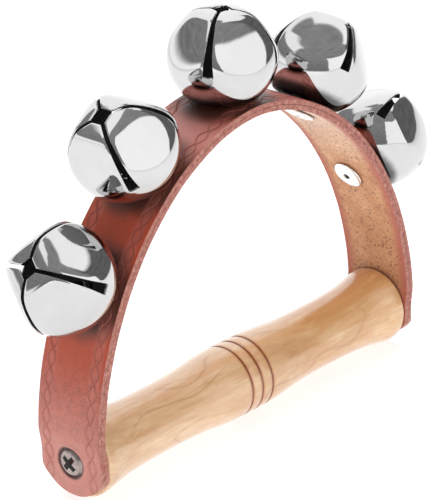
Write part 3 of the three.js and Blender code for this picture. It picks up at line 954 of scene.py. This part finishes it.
def bell(k):
    turned = bell_matrix(k) @ Matrix.Rotation(math.radians(SPIN[k]), 4, "Z")
    m = turned @ Matrix.Translation((0, 0, CENTRE_UP * MM))
    wave = np.random.default_rng(11 + k).uniform(0, 6.28, 2)

    def place(polar, az, q):
        """A point of the shell, with slight hand-pressed unevenness and a dent where each slot ends."""
        az = az + q * QUARTER
        r = ball_r(np.array(polar), np.array(az))
        r = r * (1 - 0.0012 * (1 + np.sin(3 * az + wave[0]) * np.sin(2.3 * polar + wave[1])))
        for slot in range(4):
            aside = (az - slot * QUARTER + np.pi) % (2 * np.pi) - np.pi
            from_end = np.hypot(aside * np.sin(polar), polar - SLOT_END - 0.10) * BALL_R
            r = r - 0.16 * hill(from_end, 1.9)
        return r * np.array([np.sin(polar) * np.cos(az), np.sin(polar) * np.sin(az), np.cos(polar)])

    points, faces = shell_mesh(place)
    uv = [((p[2] + CENTRE_UP) * MM, 0.0) for p in points]    # the height above the seat
    verts = [m @ Vector(p * MM) for p in points]
    ob = new_piece(f"bell_shell_{k}", verts, faces, ["plate", "inside", "cut"], uv=uv, uv_name="shell")

    def outside_out(bm):
        """Turn the faces so that the outermost one faces away from the centre."""
        far = max(bm.faces, key=lambda f: (f.calc_center_median() - m.translation).length)
        if far.normal.dot(far.calc_center_median() - m.translation) < 0:
            bmesh.ops.reverse_faces(bm, faces=bm.faces)

    reshape(ob, face_out, outside_out)
    sheet = ob.modifiers.new("sheet", "SOLIDIFY")
    sheet.thickness, sheet.offset = SHEET * MM, -1
    sheet.material_offset, sheet.material_offset_rim = 1, 2
    sheet.use_even_offset = True
    bevel(ob, 0.00014, 2, 55)
    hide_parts(f"jingle_bell_{k}")
    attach(ob, f"bell_{k}")


PELLET_R = 3.42


def pellet(k):
    """A tumbled ball, with faint flats all over."""
    lo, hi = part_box(f"pellet_{k}")
    centre = (Vector(lo) + Vector(hi)) / 2
    bm = bmesh.new()
    bmesh.ops.create_icosphere(bm, subdivisions=4, radius=PELLET_R * MM)
    for v in bm.verts:
        v.co *= 1 - 0.012 * abs(noise.noise(v.co * 900 + Vector((k, 0, 0))))
        v.co += centre
    me = bpy.data.meshes.new(f"steel_ball_{k}")
    bm.to_mesh(me)
    bm.free()
    me.materials.append(M["steel"])
    me.polygons.foreach_set("use_smooth", [True] * len(me.polygons))
    ob = add_object(f"steel_ball_{k}", me)
    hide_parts(f"pellet_{k}")
    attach(ob, f"loose_pellet_{k}")


# ------------------------------------------------------------------ rivets
FLANGE = -BOTH_PLIES - 0.5           # height of the flange's upper side, from the outer face
BORE_R = 1.05
RIVET = [(BORE_R, 4.3), (1.5, 4.35), (1.95, 4.15), (2.25, 3.6), (2.3, 2.9), (2.2, 2.2), (1.9, 1.7),
         (1.6, 1.45), (1.6, FLANGE - 0.02), (4.9, FLANGE), (5.2, FLANGE - 0.05), (5.3, FLANGE - 0.2),
         (5.26, FLANGE - 0.38), (4.9, FLANGE - 0.58), (4.1, FLANGE - 0.78), (3.1, FLANGE - 0.95),
         (2.3, FLANGE - 1.05), (1.7, FLANGE - 1.08), (1.3, FLANGE - 1.02), (BORE_R, FLANGE - 0.9),
         (BORE_R, 4.3)]
STUB = [(0, 6.2), (0.6, 6.1), (1.15, 5.8), (1.45, 5.3), (1.5, 4.9), (1.4, 4.62), (0.8, 4.6), (0.75, 4.5),
        (0.75, FLANGE + 0.95), (0.6, FLANGE + 0.8), (0.35, FLANGE + 0.92), (0, FLANGE + 0.85)]


def rivet_matrix(k):
    """Seat of a rivet: square to the strap, under its bell."""
    i = line_index(seat_of[k])
    t, n = Vector((ALONG_X[i], 0, ALONG_Z[i])), Vector((-ALONG_Z[i], 0, ALONG_X[i]))
    m = Matrix((t, Vector((0, 1, 0)), n)).transposed().to_4x4()
    m.translation = Vector(seat_of[k])
    return m


def rivet(k):
    m = rivet_matrix(k)
    # the bore wall and the mandrel stub are dark steel: painted shade in the rivet's hole
    bore_wall = len(RIVET) - 2
    body = revolve(f"blind_rivet_{k}", RIVET, 48, m, ["rivet", "dark_steel"],
                   lambda row: int(row == bore_wall))
    reshape(body, weld, face_out)
    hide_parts(f"rivet_body_{k}")
    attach(body, ROOT)
    stub = revolve(f"mandrel_stub_{k}", STUB, 32, m, ["dark_steel"])
    reshape(stub, face_out)
    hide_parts(f"rivet_mandrel_{k}")
    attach(stub, ROOT)


for k in BELLS:
    bell(k)
    pellet(k)
    rivet(k)


# ------------------------------------------------------------------ studio
FLOOR_HALF, FLOOR_Z = 6.0, -0.0004   # in metres


def floor():
    me = bpy.data.meshes.new("floor")
    corners = [(-1, -1), (1, -1), (1, 1), (-1, 1)]
    me.from_pydata([(x * FLOOR_HALF, y * FLOOR_HALF, FLOOR_Z) for x, y in corners], [], [(0, 1, 2, 3)])
    k = Mat("pale_floor")
    n = k.noise(k.coords(), 3.0, 3)
    k.link(k.ramp(n, [(0.3, (0.54, 0.54, 0.54)), (0.7, (0.57, 0.57, 0.57))]), k.shader.inputs["Base Color"])
    k.set(Roughness=0.9, Specular_IOR_Level=0.1, Emission_Color=(1, 1, 1, 1), Emission_Strength=0.7)
    me.materials.append(k.material)
    add_object("floor", me)


def studio_walls():
    """A grey room with white panels, laid out by compass direction and height in degrees."""
    world = bpy.data.worlds.new("studio")
    scene.world = world
    world.use_nodes = True
    background = world.node_tree.nodes["Background"]
    k = Nodes(world.node_tree)
    place = k.node("ShaderNodeTexCoord").outputs["Generated"]
    x, y, z = k.split(place)
    compass = k.mul(k.math("ARCTAN2", x, k.mul(y, -1.0)), 180 / math.pi)
    compass = k.add(compass, k.jitter(place, 4.0, 1, 8.0))
    height = k.mul(k.math("ARCSINE", z), 180 / math.pi)

    def step(v, at, soft):
        return k.math("ADD", k.math("DIVIDE", k.sub(v, at), soft), 0.5, clamp=True)

    def band(v, lo, hi, soft):
        return k.least(step(v, lo, soft), k.sub(1.0, step(v, hi, soft)))

    def panel(shade, left, right, low, high, value, soft, slope=0.0):
        tilted = k.add(height, k.mul(compass, slope)) if slope else height
        inside = k.least(band(compass, left, right, soft), band(tilted, low, high, soft))
        return k.add(k.mul(shade, k.sub(1.0, inside)), k.mul(inside, value))

    streak = k.sub(k.noise(k.scaled(place, (1.2, 1.2, 5.0)), 6.0, 4, 0.6), 0.5)
    shade = k.add(k.mul(streak, 0.34), k.math("MULTIPLY_ADD", z, 0.11, 0.24))
    shade = panel(shade, 34, 98, -30, 56, k.math("MULTIPLY_ADD", streak, 0.26, 0.16), 5.0)
    shade = panel(shade, 98, 190, -30, 62, 1.33, 6.0)
    shade = panel(shade, -190, -100, -30, 9, 1.33, 6.0)
    shade = panel(shade, -190, -112, 46, 76, 1.3, 6.0)
    shade = panel(shade, 42, 135, 52, 70, 1.36, 3.0)
    shade = panel(shade, -31, 36, -30, 42, 1.4, 1.6, 0.2)
    # the walls mirror at full strength and light the leather and wood at half of it
    diffuse = k.node("ShaderNodeLightPath").outputs["Is Diffuse Ray"]
    shade = k.mul(shade, k.sub(1.0, k.mul(diffuse, 0.5)))
    grey = k.node("ShaderNodeCombineColor")
    for socket in grey.inputs[:3]:
        k.link(shade, socket)
    k.link(grey.outputs[0], background.inputs["Color"])
    background.inputs["Strength"].default_value = 1.0


def area(name, place, target, size, watts):
    """A lamp in metres that lights the object but doesn't show in it."""
    lamp = bpy.data.lights.new(name, "AREA")
    lamp.shape = "RECTANGLE"
    lamp.size, lamp.size_y = size
    lamp.energy = watts
    ob = add_object(name, lamp)
    ob.location = place
    ob.rotation_euler = (Vector(target) - Vector(place)).to_track_quat("-Z", "Y").to_euler()
    ob.visible_camera = False
    ob.visible_glossy = False


floor()
studio_walls()
MIDDLE = (0, 0, 0.07)
area("overhead", (0.2, 0.5, 1.7), MIDDLE, (1.8, 1.8), 23.5)
area("front", (0.1, -1.5, 0.75), MIDDLE, (0.9, 0.8), 5)
area("left", (-1.6, -0.3, 0.8), MIDDLE, (0.8, 0.8), 4)
area("low_left", (-1.3, -0.8, 0.22), (0, 0, 0.03), (1.2, 0.4), 6)
